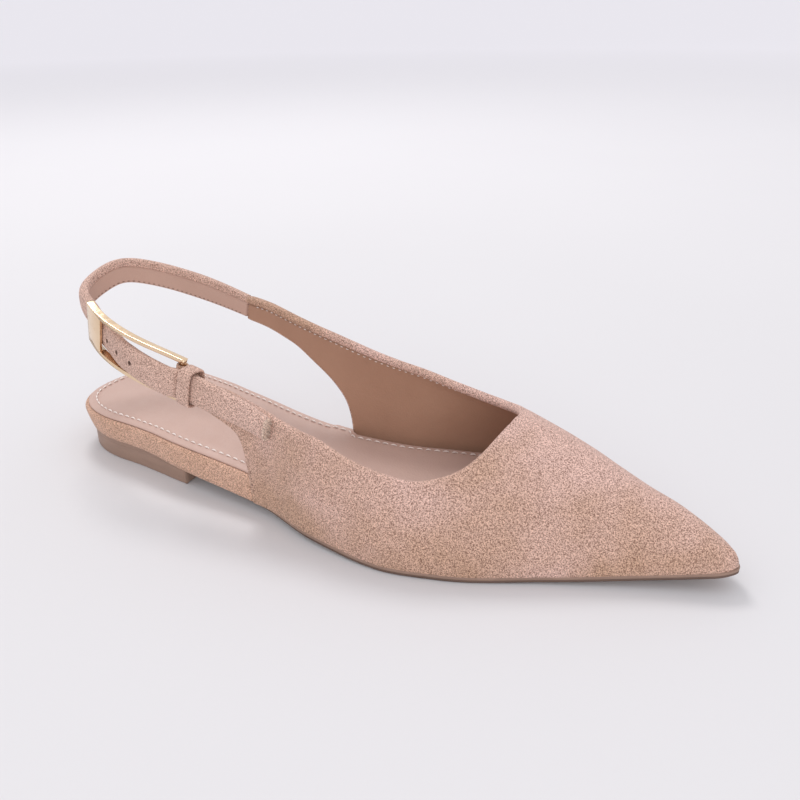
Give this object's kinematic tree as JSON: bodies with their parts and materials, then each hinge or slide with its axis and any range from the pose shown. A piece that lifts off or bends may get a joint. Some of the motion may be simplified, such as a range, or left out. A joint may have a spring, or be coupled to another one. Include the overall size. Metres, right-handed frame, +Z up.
{
  "type": "slingback flat shoe",
  "caption": "Pointed slingback flat: hollow suede upper on a thin sole with a low heel, padded heel strap through a long buckle frame.",
  "frame": {"origin": "on the heel block's flat underside, under the middle of the heel seat, 34 mm in from the sole's rear end", "axes": "+X to the toe along the sole, +Y to the inner side of the foot, +Z up from the floor"},
  "size_m": [0.2647, 0.0788, 0.0725],
  "materials": {
    "outsole": "satin brown",
    "heel_block": "satin brown",
    "footbed": "wrapped in dusty pink suede",
    "sock": "smooth pink beige",
    "upper": "dusty pink suede, smooth lining",
    "heel_strap": "dusty pink suede, padded",
    "keeper_loop": "dusty pink suede",
    "buckle": "polished pale gold"
  },
  "bodies": {
    "root": {"outsole": "outsole", "heel_block": "heel_block", "footbed": "footbed", "sock": "sock", "upper": "upper", "heel_strap": "heel_strap", "keeper_loop": "keeper_loop", "buckle": "buckle"}
  },
  "joints": []
}
